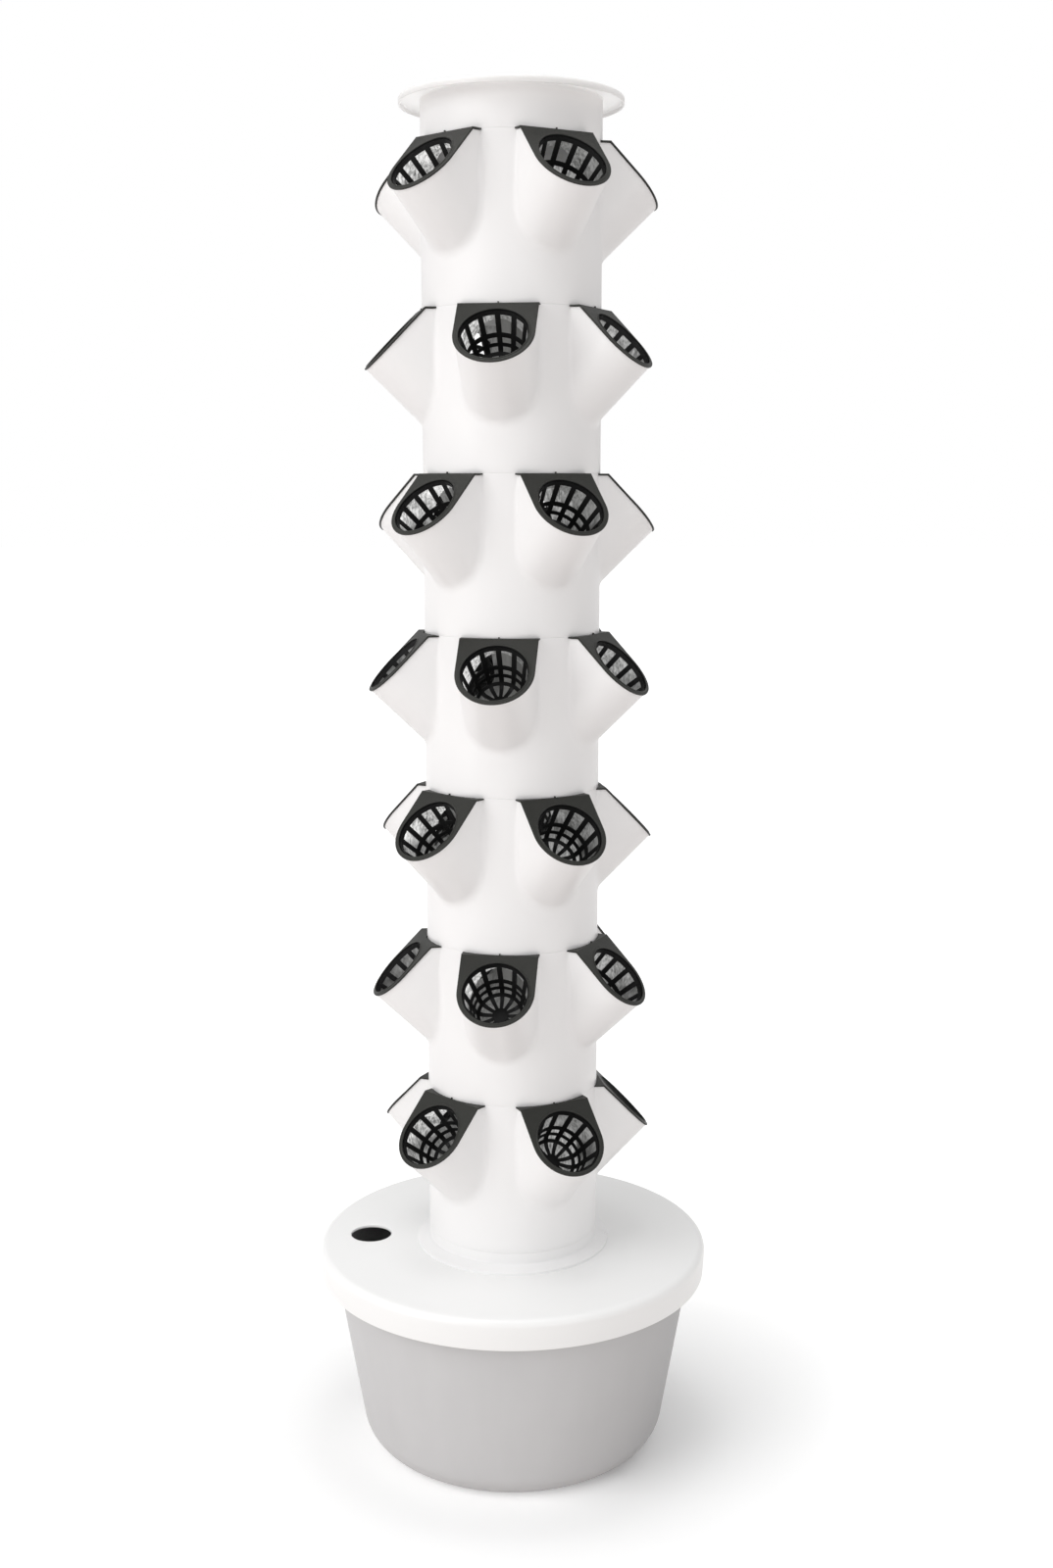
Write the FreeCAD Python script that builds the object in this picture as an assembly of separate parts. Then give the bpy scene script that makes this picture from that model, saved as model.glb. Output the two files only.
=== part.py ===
import FreeCAD, Part
import math
import os

# Vertical planter tower: a round reservoir tub with a lid, and a column of seven stacked tiers.
# Each tier has five slanted spouts, and each spout holds a net cup.
# Units are millimetres. The origin is the middle of the tub's foot, on the floor.
# The front is -Y, and azimuths are measured from the front towards +X.

V = FreeCAD.Vector
os.makedirs("parts", exist_ok=True)

# Column
column_radius = 100.0
column_wall = 3.0
column_sides = 20
tier_count = 7
tier_pitch = 178.0
spouts_per_tier = 5
front_azimuth = -7.6
spigot_depth = 8.0
spigot_wall = 2.5
spigot_shoulder = 4.0
joint_clearance = 0.3

# Spout and the slanted plane of the cup flange
flange_slope = 46.0
flange_start = 102.5
mouth_drop = 46.5
spout_radius = 42.0
spout_wall = 2.5
spout_depth = 110.0
spout_bore_depth = 125.0

# Net cup
flange_radius = 43.9
flange_lift = 0.8
flange_round_sides = 8
flange_hug_sides = 40
flange_thickness = 2.0
flange_clearance = 0.3
tab_width = 3.0
tab_height = 2.6
basket_sides = 12
basket_clearance = 0.6
basket_wall = 1.5
basket_depth = 62.0
basket_foot_radius = 26.0
rib_width = 4.8
window_top = 9.0
window_foot = 9.0
floor_thickness = 1.8
floor_slots = 2
floor_slot_width = 7.0
floor_slot_turn = 60.0
floor_hub_radius = 5.0
floor_rim = 4.0

# Tub
tub_foot_radius = 175.4
tub_rim_radius = 217.5
tub_height = 244.7
tub_foot_round = 42.0
tub_round_steps = 3
tub_wall = 3.0
tub_inner_sides = 40
tub_lip_height = 7.0

# Lid
lid_radius = 231.5
lid_seat_gap = 0.3
lid_wall = 3.0
lid_skirt = 35.0
lid_round = 8.0
lid_round_steps = 2
lid_draft = 2.0
lid_clearance = 1.0
fill_hole_radius = 24.3
fill_hole_distance = 172.0
fill_hole_azimuth = -92.0

# Base socket in the middle of the lid
socket_flange_radius = 114.5
socket_rise = 7.0
socket_edge = 2.0
socket_neck = 13.0
socket_skirt_radius = 104.0
socket_skirt_depth = 16.0
socket_notch_width = 9.0
socket_notch_depth = 4.0

# Collar, shower plate and cap at the top
collar_height = 45.4
ledge_width = 6.0
ledge_height = 4.0
shower_drop = 22.0
plate_thickness = 2.0
plate_rim_height = 10.0
plate_boss_height = 8.0
drip_hole_radius = 4.0
drip_hole_sides = 8
drip_hole_circle = 62.0
cap_radius = 123.8
cap_thickness = 2.6
cap_lip_height = 7.5
cap_lip_wall = 2.4
cap_chamfer = 1.8
cap_ring_depth = 9.0
cap_ring_wall = 2.5

# Riser pipe
riser_radius = 12.5
riser_wall = 2.0
riser_split = 820.0
riser_overrun = 9.0
riser_gap = 1.0
coupling_sides = 12
coupling_wall = 2.5
coupling_length = 50.0
bush_clearance = 0.3
pipe_clearance = 0.1

# Pump
pump_length = 66.0
pump_width = 52.0
pump_height = 48.0
pump_chamfer = 6.0
pump_cover_depth = 12.0
pump_cover_wall = 2.0
pump_slot_count = 5
pump_slot_width = 3.0
pump_slot_length = 30.0
pump_slot_pitch = 7.5
outlet_height = 40.0
outlet_wall = 2.5
outlet_insert = 16.0
foot_radius = 8.0
foot_sides = 12
foot_height = 7.0
foot_inset = 12.0

# Sizes that follow from the ones above
column_bore = column_radius - column_wall
spigot_radius = column_bore - joint_clearance
spigot_bore = spigot_radius - spigot_wall
lid_under = tub_height + lid_seat_gap
lid_top = lid_under + lid_wall
column_foot = lid_top + socket_rise + socket_neck
column_top = column_foot + tier_count * tier_pitch
spout_bore = spout_radius - spout_wall
basket_radius = spout_bore - basket_clearance
slope = math.radians(flange_slope)
spout_step = 360.0 / spouts_per_tier
lid_bore = lid_radius - lid_draft - lid_wall
tub_lip_radius = lid_bore - lid_clearance
pump_base = tub_wall + foot_height
pump_top = pump_base + pump_height
pump_front = -pump_width / 2
pump_middle = pump_base + pump_height / 2
outlet_top = pump_top + outlet_height
riser_foot = outlet_top - outlet_insert
collar_top = column_top + collar_height
shower_level = collar_top - shower_drop
spout_out = V(math.sin(slope), 0, math.cos(slope))


def seam_height(tier):
    """Height of the top edge of a tier, with tier 1 at the top of the column."""
    return column_top - (tier - 1) * tier_pitch


def spout_azimuth(tier, spout):
    """Azimuth of a spout: every other tier is turned by half a step."""
    turn = spout_step / 2 if tier % 2 else 0.0
    return front_azimuth + turn + spout * spout_step


def placed(shape, azimuth, height):
    """A shape drawn along +X at height 0, turned to an azimuth and lifted."""
    copy = shape.copy()
    copy.rotate(V(0, 0, 0), V(0, 0, 1), azimuth - 90.0)
    copy.translate(V(0, 0, height))
    return copy


def on_flange(down, side, out):
    """A point by its way down the flange plane, sideways, and out along the spout."""
    x = flange_start + down * math.cos(slope) + out * math.sin(slope)
    z = -down * math.sin(slope) + out * math.cos(slope)
    return V(x, side, z)


def closed(points):
    return Part.makePolygon(points + points[:1])


def revolved(points):
    """A ring turned about Z from corner points given as (radius, height)."""
    face = Part.Face(closed([V(r, 0, z) for r, z in points]))
    return face.revolve(V(0, 0, 0), V(0, 0, 1), 360)


def ring(outer, inner, low, high):
    return revolved([(inner, low), (outer, low), (outer, high), (inner, high)])


def polygon(sides, radius, height):
    """Corners of an upright many-sided outline, with the first corner along +X."""
    turns = [2 * math.pi * i / sides for i in range(sides)]
    return [V(radius * math.cos(t), radius * math.sin(t), height) for t in turns]


def prism(sides, radius, low, high):
    face = Part.Face(closed(polygon(sides, radius, low)))
    return face.extrude(V(0, 0, high - low))


def flat_sided(rings):
    """Solid with flat sides between outlines of equal counts, closed at both ends."""
    faces = [Part.Face(closed(rings[0])), Part.Face(closed(rings[-1]))]
    for lower, upper in zip(rings, rings[1:]):
        for i in range(len(lower)):
            j = (i + 1) % len(lower)
            faces.append(Part.Face(closed([lower[i], lower[j], upper[j], upper[i]])))
    return Part.Solid(Part.makeShell(faces))


def quarter_round(centre, radius, start, end, steps):
    """Points of an arc in a section, with angles measured from straight down."""
    points = []
    for i in range(steps + 1):
        t = start + (end - start) * i / steps
        points.append((centre[0] + radius * math.sin(t), centre[1] - radius * math.cos(t)))
    return points


def column_hollow(radius, low, high):
    """The many-sided inside of the column, which keeps each tier at its half turn."""
    return prism(column_sides, radius, low, high)


def spout_prism():
    """Half-round spout along its axis, with straight sides up to the flange's bend."""
    start = -flange_start
    low = -spout_depth
    foot = on_flange(mouth_drop + spout_radius, 0, low)
    left = on_flange(mouth_drop, -spout_radius, low)
    right = on_flange(mouth_drop, spout_radius, low)
    edges = [
        Part.makeLine(on_flange(start, -spout_radius, low), left),
        Part.Arc(left, foot, right).toShape(),
        Part.makeLine(right, on_flange(start, spout_radius, low)),
        Part.makeLine(on_flange(start, spout_radius, low), on_flange(start, -spout_radius, low)),
    ]
    face = Part.Face(Part.Wire(edges))
    return face.extrude(spout_out * spout_depth)


def bent_line(depth, inner, reach):
    """Side view of the flange surface at a depth under its top: level, then sloping."""
    bend = flange_start + depth * (math.cos(slope) - 1) / math.sin(slope)
    run = reach * math.cos(slope)
    drop = reach * math.sin(slope)
    return [(inner, -depth), (bend, -depth), (bend + run, -depth - drop)]


def side_prism(points, half_width):
    face = Part.Face(closed([V(x, -half_width, z) for x, z in points]))
    return face.extrude(V(0, 2 * half_width, 0))


def basket_outline(radius, depth):
    """Outline of the many-sided basket at a depth below the flange's top."""
    points = []
    for i in range(basket_sides):
        turn = 2 * math.pi * i / basket_sides
        down = mouth_drop + radius * math.cos(turn)
        points.append(on_flange(down, radius * math.sin(turn), -depth))
    return points


def basket_radius_at(depth):
    share = depth / basket_depth
    return basket_radius + (basket_foot_radius - basket_radius) * share


def basket_window():
    """One tall window between two ribs, narrowing with the basket."""
    half_turn = math.pi / basket_sides
    origin = on_flange(0, 0, 0)
    radial = on_flange(math.cos(half_turn), math.sin(half_turn), 0) - origin
    along = on_flange(-math.sin(half_turn), math.cos(half_turn), 0) - origin
    start = on_flange(mouth_drop, 0, 0) + radial * (basket_foot_radius / 2)
    low = basket_depth - window_foot
    corners = []
    for depth, side in ((window_top, -1), (window_top, 1), (low, 1), (low, -1)):
        half = basket_radius_at(depth) * math.sin(half_turn) - rib_width / 2
        corners.append(start + along * (side * half) - spout_out * depth)
    return Part.Face(closed(corners)).extrude(radial * basket_radius)


def floor_slot():
    """One slot in the basket's floor, beside the hub."""
    reach = basket_foot_radius * math.cos(math.pi / basket_sides) - floor_rim
    half = reach * math.sin(math.radians(floor_slot_turn))
    near = floor_hub_radius
    far = near + floor_slot_width
    below = -(basket_depth + floor_thickness)
    corners = []
    for down, side in ((near, -half), (far, -half), (far, half), (near, half)):
        corners.append(on_flange(mouth_drop + down, side, below))
    return Part.Face(closed(corners)).extrude(spout_out * (3 * floor_thickness))


def turned_about_spout(shape, count):
    """Copies of a shape spread evenly about the spout's axis."""
    copies = []
    for i in range(count):
        copy = shape.copy()
        copy.rotate(on_flange(mouth_drop, 0, 0), spout_out, i * 360.0 / count)
        copies.append(copy)
    return Part.makeCompound(copies)


def flange_outline():
    """Straight sides above the mouth's middle, and a half round below it."""
    start = -flange_start
    low = -2 * flange_radius
    points = [on_flange(start, flange_radius, low), on_flange(start, -flange_radius, low)]
    for i in range(flange_round_sides + 1):
        turn = math.pi * i / flange_round_sides
        down = mouth_drop - flange_lift + flange_radius * math.sin(turn)
        points.append(on_flange(down, -flange_radius * math.cos(turn), low))
    return points


def make_net_cup():
    """Flange that follows the spout's rim and the column, with a tapered basket."""
    inner = column_radius / 2
    top = bent_line(0, inner, 3 * flange_radius)
    under = bent_line(flange_thickness, inner, 3 * flange_radius)
    plate = side_prism(top + under[::-1], 2 * flange_radius)
    outline = Part.Face(closed(flange_outline())).extrude(spout_out * (4 * flange_radius))
    tab = Part.makeBox(
        flange_start - inner, tab_width, tab_height + flange_thickness,
        V(inner, -tab_width / 2, -flange_thickness))
    hug_radius = (column_radius + joint_clearance) / math.cos(math.pi / flange_hug_sides)
    column = prism(flange_hug_sides, hug_radius, -tier_pitch / 2, tier_pitch / 2)
    flange = plate.common(outline).fuse(tab).cut(column)
    outside = flat_sided([
        basket_outline(basket_radius, 0),
        basket_outline(basket_foot_radius, basket_depth)])
    inside_depth = basket_depth - floor_thickness
    inside = flat_sided([
        basket_outline(basket_radius_at(-basket_wall) - basket_wall, -basket_wall),
        basket_outline(basket_radius_at(inside_depth) - basket_wall, inside_depth)])
    cup = flange.fuse(outside).cut(inside)
    windows = turned_about_spout(basket_window(), basket_sides)
    slots = turned_about_spout(floor_slot(), floor_slots)
    return cup.cut([windows, slots]).removeSplitter()


def make_tier():
    """Barrel with a spigot at its foot and five spouts under its top edge."""
    low = -tier_pitch
    shoulder = low + spigot_shoulder
    barrel = Part.makeCylinder(column_radius, tier_pitch, V(0, 0, low))
    seat = flange_thickness + flange_clearance
    rim = bent_line(seat, 0, 3 * flange_radius)
    under_flange = side_prism(rim + [(rim[-1][0], low), (0, low)], 2 * spout_radius)
    spout = spout_prism().common(under_flange)
    bore = flat_sided([
        basket_outline(spout_bore, -spout_radius),
        basket_outline(spout_bore, spout_bore_depth)])
    spouts = [placed(spout, 90 + i * spout_step, 0) for i in range(spouts_per_tier)]
    bores = [placed(bore, 90 + i * spout_step, 0) for i in range(spouts_per_tier)]
    tier = barrel.fuse(spouts).removeSplitter()
    tier = tier.cut([column_hollow(column_bore, shoulder, spigot_shoulder)] + bores)
    spigot = column_hollow(spigot_radius, low - spigot_depth, shoulder)
    bottom_hole = column_hollow(spigot_bore, low - 2 * spigot_depth, shoulder + spigot_wall)
    return tier.fuse(spigot).cut(bottom_hole).removeSplitter()


def make_tub():
    """Round tapered tub with a rounded foot and a lip under the lid."""
    taper = (tub_rim_radius - tub_foot_radius) / tub_height
    lean = math.atan(taper)
    inset = tub_foot_round * (1 / math.cos(lean) - math.tan(lean))
    centre = (tub_foot_radius - inset, tub_foot_round)
    turn_end = math.pi / 2 - lean
    lip_low = tub_height - tub_lip_height
    outline = [(0, 0)]
    outline += quarter_round(centre, tub_foot_round, 0, turn_end, tub_round_steps)
    outline += [
        (tub_foot_radius + taper * lip_low, lip_low),
        (tub_lip_radius, lip_low),
        (tub_lip_radius, tub_height),
        (0, tub_height)]
    body = revolved(outline)
    sideways = tub_wall / math.cos(lean)
    inner_round = tub_foot_round - tub_wall
    above = tub_height + tub_wall
    sections = quarter_round(centre, inner_round, 0, turn_end, tub_round_steps - 1)
    sections.append((tub_foot_radius + taper * above - sideways, above))
    hollow = flat_sided([polygon(tub_inner_sides, r, z) for r, z in sections])
    return body.cut(hollow)


def make_lid():
    """Lid with a rounded shoulder, a skirt over the tub's lip, and a fill hole."""
    hole = socket_skirt_radius + joint_clearance
    skirt_foot = lid_top - lid_skirt
    centre = (lid_radius - lid_round, lid_top - lid_round)
    shoulder = quarter_round(centre, lid_round, math.pi / 2, math.pi, lid_round_steps)
    lid = revolved(
        [(hole, lid_under), (lid_bore, lid_under), (lid_bore, skirt_foot)]
        + [(lid_radius - lid_draft, skirt_foot)] + shoulder + [(hole, lid_top)])
    fill_hole = Part.makeCylinder(
        fill_hole_radius, 3 * lid_wall, V(fill_hole_distance, 0, lid_top - 2 * lid_wall))
    return lid.cut(placed(fill_hole, fill_hole_azimuth, 0))


def make_base_socket():
    """Ring that carries the column on the lid and drains it into the tub."""
    skirt_foot = lid_under - socket_skirt_depth
    socket = revolved([
        (0, skirt_foot),
        (socket_skirt_radius, skirt_foot),
        (socket_skirt_radius, lid_top),
        (socket_flange_radius, lid_top),
        (socket_flange_radius, lid_top + socket_rise - socket_edge),
        (socket_flange_radius - socket_edge, lid_top + socket_rise),
        (column_radius, lid_top + socket_rise),
        (column_radius, column_foot),
        (0, column_foot),
    ])
    notch = Part.makeBox(
        socket_flange_radius, socket_notch_width, 2 * socket_rise,
        V(socket_flange_radius - socket_notch_depth, -socket_notch_width / 2, lid_top))
    hollow = column_hollow(column_bore, skirt_foot - 1, column_foot + 1)
    return socket.cut([notch, placed(hollow, spout_azimuth(tier_count, 0), 0)])


def make_top_collar():
    """Short ring on the top tier, with the same spigot and a ledge for the shower plate."""
    body = Part.makeCylinder(column_radius, collar_height, V(0, 0, column_top))
    spigot = column_hollow(spigot_radius, column_top - spigot_depth, column_top)
    drain = column_hollow(spigot_bore, column_top - 2 * spigot_depth, column_top + spigot_shoulder)
    middle = column_hollow(column_bore, column_top + spigot_shoulder, shower_level - ledge_height)
    past_ledge = column_hollow(column_bore - ledge_width, column_top, collar_top)
    above = column_hollow(column_bore, shower_level, collar_top + 1)
    collar = body.fuse(spigot).cut([drain, middle, past_ledge, above]).removeSplitter()
    return placed(collar, spout_azimuth(1, 0) + 90, 0)


def make_shower_plate():
    """Shallow tray that spreads the water from the riser over the drip holes."""
    low = shower_level
    rim = column_bore - joint_clearance
    boss_bore = riser_radius + bush_clearance
    boss = boss_bore + plate_thickness
    tray = column_hollow(rim, low, low + plate_rim_height)
    tray = tray.cut(column_hollow(rim - plate_thickness, low + plate_thickness, collar_top))
    tray = tray.fuse(Part.makeCylinder(boss, plate_boss_height, V(0, 0, low)))
    hole = Part.makeCylinder(boss_bore, collar_height, V(0, 0, low - plate_thickness))
    drip = prism(drip_hole_sides, drip_hole_radius, low - plate_thickness, collar_top)
    drip.translate(V(drip_hole_circle, 0, 0))
    drips = [placed(drip, 90 + i * spout_step, 0) for i in range(spouts_per_tier)]
    return placed(tray.cut([hole] + drips), spout_azimuth(1, 0) + 90, 0)


def make_cap():
    """Wide thin disc with a turned-down lip and a ring that sits in the collar."""
    top = collar_top + cap_thickness
    lip_inner = cap_radius - cap_lip_wall
    lip_foot = top - cap_lip_height
    disc = revolved([
        (0, collar_top),
        (lip_inner, collar_top),
        (lip_inner, lip_foot),
        (cap_radius, lip_foot),
        (cap_radius, top - cap_chamfer),
        (cap_radius - cap_chamfer, top),
        (0, top),
    ])
    ring_radius = column_bore - joint_clearance
    low = collar_top - cap_ring_depth
    ring_outside = column_hollow(ring_radius, low, collar_top)
    ring_inside = column_hollow(ring_radius - cap_ring_wall, low, collar_top)
    return disc.fuse(placed(ring_outside.cut(ring_inside), spout_azimuth(1, 0), 0))


def make_riser(low, high):
    return ring(riser_radius, riser_radius - riser_wall, low, high)


def make_coupling():
    """Sleeve with grip flats round the joint of the two riser lengths."""
    bore = riser_radius + pipe_clearance
    low = riser_split - coupling_length / 2
    sleeve = prism(coupling_sides, bore + coupling_wall, low, low + coupling_length)
    return sleeve.cut(Part.makeCylinder(bore, coupling_length, V(0, 0, low)))


def upright_edges(shape, behind):
    """The long vertical edges of a box that lie in front of a depth."""
    edges = []
    for edge in shape.Edges:
        ends = [vertex.Point for vertex in edge.Vertexes]
        if abs(ends[0].z - ends[1].z) > pump_height / 2 and ends[0].y < behind:
            edges.append(edge)
    return edges


def make_pump_body():
    """Closed housing on four suction feet, with a flanged outlet that plugs into the riser."""
    body = Part.makeBox(
        pump_length, pump_width, pump_height,
        V(-pump_length / 2, pump_front, pump_base))
    body = body.makeChamfer(pump_chamfer, upright_edges(body, pump_width))
    feet = []
    for x in (-1, 1):
        for y in (-1, 1):
            foot = prism(foot_sides, foot_radius, tub_wall, pump_base)
            foot.translate(V(
                x * (pump_length / 2 - foot_inset), y * (pump_width / 2 - foot_inset), 0))
            feet.append(foot)
    stem = riser_radius - riser_wall - pipe_clearance
    bore = stem - outlet_wall
    outlet = revolved([
        (0, pump_top),
        (riser_radius, pump_top),
        (riser_radius, riser_foot),
        (stem, riser_foot),
        (stem, outlet_top),
        (0, outlet_top),
    ])
    duct = Part.makeCylinder(bore, outlet_top - pump_middle, V(0, 0, pump_middle))
    return body.fuse(feet + [outlet]).cut(duct).removeSplitter()


def make_pump_cover():
    """Slotted intake cover clipped on the front of the pump."""
    front = pump_front - pump_cover_depth
    cover = Part.makeBox(
        pump_length, pump_cover_depth, pump_height, V(-pump_length / 2, front, pump_base))
    cover = cover.makeChamfer(pump_chamfer, upright_edges(cover, front + pump_cover_depth / 2))
    inside = Part.makeBox(
        pump_length - 2 * pump_chamfer, pump_cover_depth, pump_height - 2 * pump_cover_wall,
        V(pump_chamfer - pump_length / 2, front + pump_cover_wall, pump_base + pump_cover_wall))
    slots = []
    for i in range(pump_slot_count):
        x = (i - (pump_slot_count - 1) / 2) * pump_slot_pitch - pump_slot_width / 2
        slots.append(Part.makeBox(
            pump_slot_width, 2 * pump_cover_wall, pump_slot_length,
            V(x, front - pump_cover_wall / 2, pump_middle - pump_slot_length / 2)))
    return cover.cut([inside] + slots)


nodes = {
    "tub": make_tub(),
    "lid": make_lid(),
    "base_socket": make_base_socket(),
    "top_collar": make_top_collar(),
    "shower_plate": make_shower_plate(),
    "top_cap": make_cap(),
    "riser_lower": make_riser(riser_foot, riser_split - riser_gap / 2),
    "riser_upper": make_riser(riser_split + riser_gap / 2, shower_level + riser_overrun),
    "riser_coupling": make_coupling(),
    "pump_body": make_pump_body(),
    "pump_cover": make_pump_cover(),
}

tier_shape = make_tier()
cup_shape = make_net_cup()
for tier in range(1, tier_count + 1):
    height = seam_height(tier)
    nodes[f"tier_{tier}"] = placed(tier_shape, spout_azimuth(tier, 0), height)
    for spout in range(spouts_per_tier):
        azimuth = spout_azimuth(tier, spout)
        nodes[f"net_cup_{tier}_{spout + 1}"] = placed(cup_shape, azimuth, height)

for name, shape in nodes.items():
    shape.exportStep(f"parts/{name}.step")
print(len(nodes), "nodes, top of the cap at", round(nodes["top_cap"].BoundBox.ZMax, 1))
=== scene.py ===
import math
import bmesh
import bpy
import numpy as np
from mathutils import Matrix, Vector


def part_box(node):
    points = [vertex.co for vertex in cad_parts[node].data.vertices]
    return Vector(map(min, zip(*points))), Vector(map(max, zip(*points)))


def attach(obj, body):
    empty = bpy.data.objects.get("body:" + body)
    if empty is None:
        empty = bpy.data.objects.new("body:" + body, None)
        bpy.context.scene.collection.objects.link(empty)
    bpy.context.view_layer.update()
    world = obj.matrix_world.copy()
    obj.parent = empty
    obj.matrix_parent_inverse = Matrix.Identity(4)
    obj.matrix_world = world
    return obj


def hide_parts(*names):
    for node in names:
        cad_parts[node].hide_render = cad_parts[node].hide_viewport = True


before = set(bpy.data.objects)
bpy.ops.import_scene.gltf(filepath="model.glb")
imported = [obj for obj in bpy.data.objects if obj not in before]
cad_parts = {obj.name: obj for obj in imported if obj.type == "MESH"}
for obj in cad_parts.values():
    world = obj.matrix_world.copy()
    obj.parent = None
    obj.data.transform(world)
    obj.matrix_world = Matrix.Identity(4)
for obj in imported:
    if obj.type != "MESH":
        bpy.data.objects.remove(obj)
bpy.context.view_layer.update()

# Vertical planter tower: a lidded round tub, seven stacked tiers with slanted spouts, 35 net cups.
# Dictionaries of pieces are in millimetres and degrees, those of finishes and the studio in metres.
# Meshes are written in metres in the model's own frame.
mm = 0.001

column = {"radius": 100.0, "bore": 97.0, "neck": 13.0, "tiers": 7, "spouts": 5,
          "frontAzimuth": -7.6}
meshRules = {"mergeWithin": 2e-6, "sharpAbove": 32.0}


def topOf(node):
    # height of a CAD node's highest point
    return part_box(node)[1].z / mm


def footOf(node):
    # height of a CAD node's lowest point
    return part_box(node)[0].z / mm


def outerRadius(node):
    # half the width of a round CAD node
    low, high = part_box(node)
    return (high.x - low.x) / 2 / mm


def spoutAzimuth(tier, index):
    # spouts stand a fifth of a turn apart, and the odd tiers are turned by half that step
    step = 360.0 / column["spouts"]
    return column["frontAzimuth"] + (step / 2 if tier % 2 else 0.0) + index * step


# surfaces: every shape is a grid of points worked out from two parameters


def stacked(*coordinates):
    # coordinates of matching shapes, joined along a last axis
    return np.stack(np.broadcast_arrays(*coordinates), axis=-1)


def gridFaces(rows, cols, wrap, first):
    # quads between neighbouring rows and columns, closing round the columns where wrap is set
    r = np.arange(rows - 1)[:, None] * cols
    c = np.arange(cols if wrap else cols - 1)[None, :]
    n = (c + 1) % cols
    return stacked(r + c, r + n, r + cols + n, r + cols + c).reshape(-1, 4) + first


def buildPiece(name, patches, materials, body, replaced, sharp=meshRules["sharpAbove"]):
    # patches are (grid of points, wraps round, index of its material); doubles are merged at seams
    points, faces, kinds, first = [], [], [], 0
    for grid, wrap, kind in patches:
        rows, cols = grid.shape[:2]
        quads = gridFaces(rows, cols, wrap, first)
        points.append(grid.reshape(-1, 3))
        faces.append(quads)
        kinds.append(np.full(len(quads), kind, dtype=np.int32))
        first += rows * cols
    points = np.concatenate(points) * mm
    faces = np.concatenate(faces)
    mesh = bpy.data.meshes.new(name)
    mesh.vertices.add(len(points))
    mesh.vertices.foreach_set("co", points.astype(np.float32).ravel())
    mesh.loops.add(faces.size)
    mesh.loops.foreach_set("vertex_index", faces.astype(np.int32).ravel())
    mesh.polygons.add(len(faces))
    mesh.polygons.foreach_set("loop_start", np.arange(0, faces.size, 4, dtype=np.int32))
    mesh.update(calc_edges=True)
    for material in materials:
        mesh.materials.append(material)
    mesh.polygons.foreach_set("material_index", np.concatenate(kinds))
    work = bmesh.new()
    work.from_mesh(mesh)
    bmesh.ops.remove_doubles(work, verts=work.verts, dist=meshRules["mergeWithin"])
    bmesh.ops.recalc_face_normals(work, faces=work.faces)
    work.to_mesh(mesh)
    work.free()
    mesh.shade_smooth()
    mesh.set_sharp_from_angle(angle=math.radians(sharp))
    mesh.update()
    piece = bpy.data.objects.new(name, mesh)
    bpy.context.scene.collection.objects.link(piece)
    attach(piece, body)
    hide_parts(*replaced)


def placed(patches, azimuth, height):
    # patches drawn along +X at height 0, turned to an azimuth from the front and lifted
    t = math.radians(azimuth - 90.0)
    moved = []
    for grid, wrap, kind in patches:
        x, y, z = (grid[..., i] for i in range(3))
        turnedX = x * math.cos(t) - y * math.sin(t)
        turnedY = x * math.sin(t) + y * math.cos(t)
        moved.append((stacked(turnedX, turnedY, z + height), wrap, kind))
    return moved


def roundedLine(corners, steps, closed=True):
    # (radius, height, rounding) corners joined by straight lines, each corner eased by an arc that
    # is centred on the corner's bisector, at the rounding over the sine of half the corner's angle
    flat = np.array([c[:2] for c in corners], dtype=float)
    count, line = len(corners), []
    for i in range(count):
        here, size = flat[i], corners[i][2] if len(corners[i]) > 2 else 0.0
        if size <= 0 or (not closed and i in (0, count - 1)):
            line.append(here[None])
            continue
        before, after = flat[i - 1] - here, flat[(i + 1) % count] - here
        before, after = before / np.hypot(*before), after / np.hypot(*after)
        half = math.acos(np.clip(before @ after, -1, 1)) / 2
        reach = size / math.tan(half)
        centre = here + (before + after) / np.hypot(*(before + after)) * size / math.sin(half)
        start, end = here + before * reach - centre, here + after * reach - centre
        turn = math.atan2(start[0] * end[1] - start[1] * end[0], start @ end)
        a = math.atan2(start[1], start[0]) + turn * np.linspace(0, 1, steps + 1)
        line.append(centre + size * stacked(np.cos(a), np.sin(a)))
    return np.concatenate(line)


def turned(line, steps, closed=True, start=0.0):
    # the section line of (radius, height) carried round the column's axis
    if closed:
        line = np.concatenate([line, line[:1]])
    a = start + 2 * math.pi * np.arange(steps) / steps
    r, z = line[:, :1], line[:, 1:]
    return stacked(r * np.cos(a), r * np.sin(a), z)


# shader maths: one class wraps a socket, and an expression adds its own nodes


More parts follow.
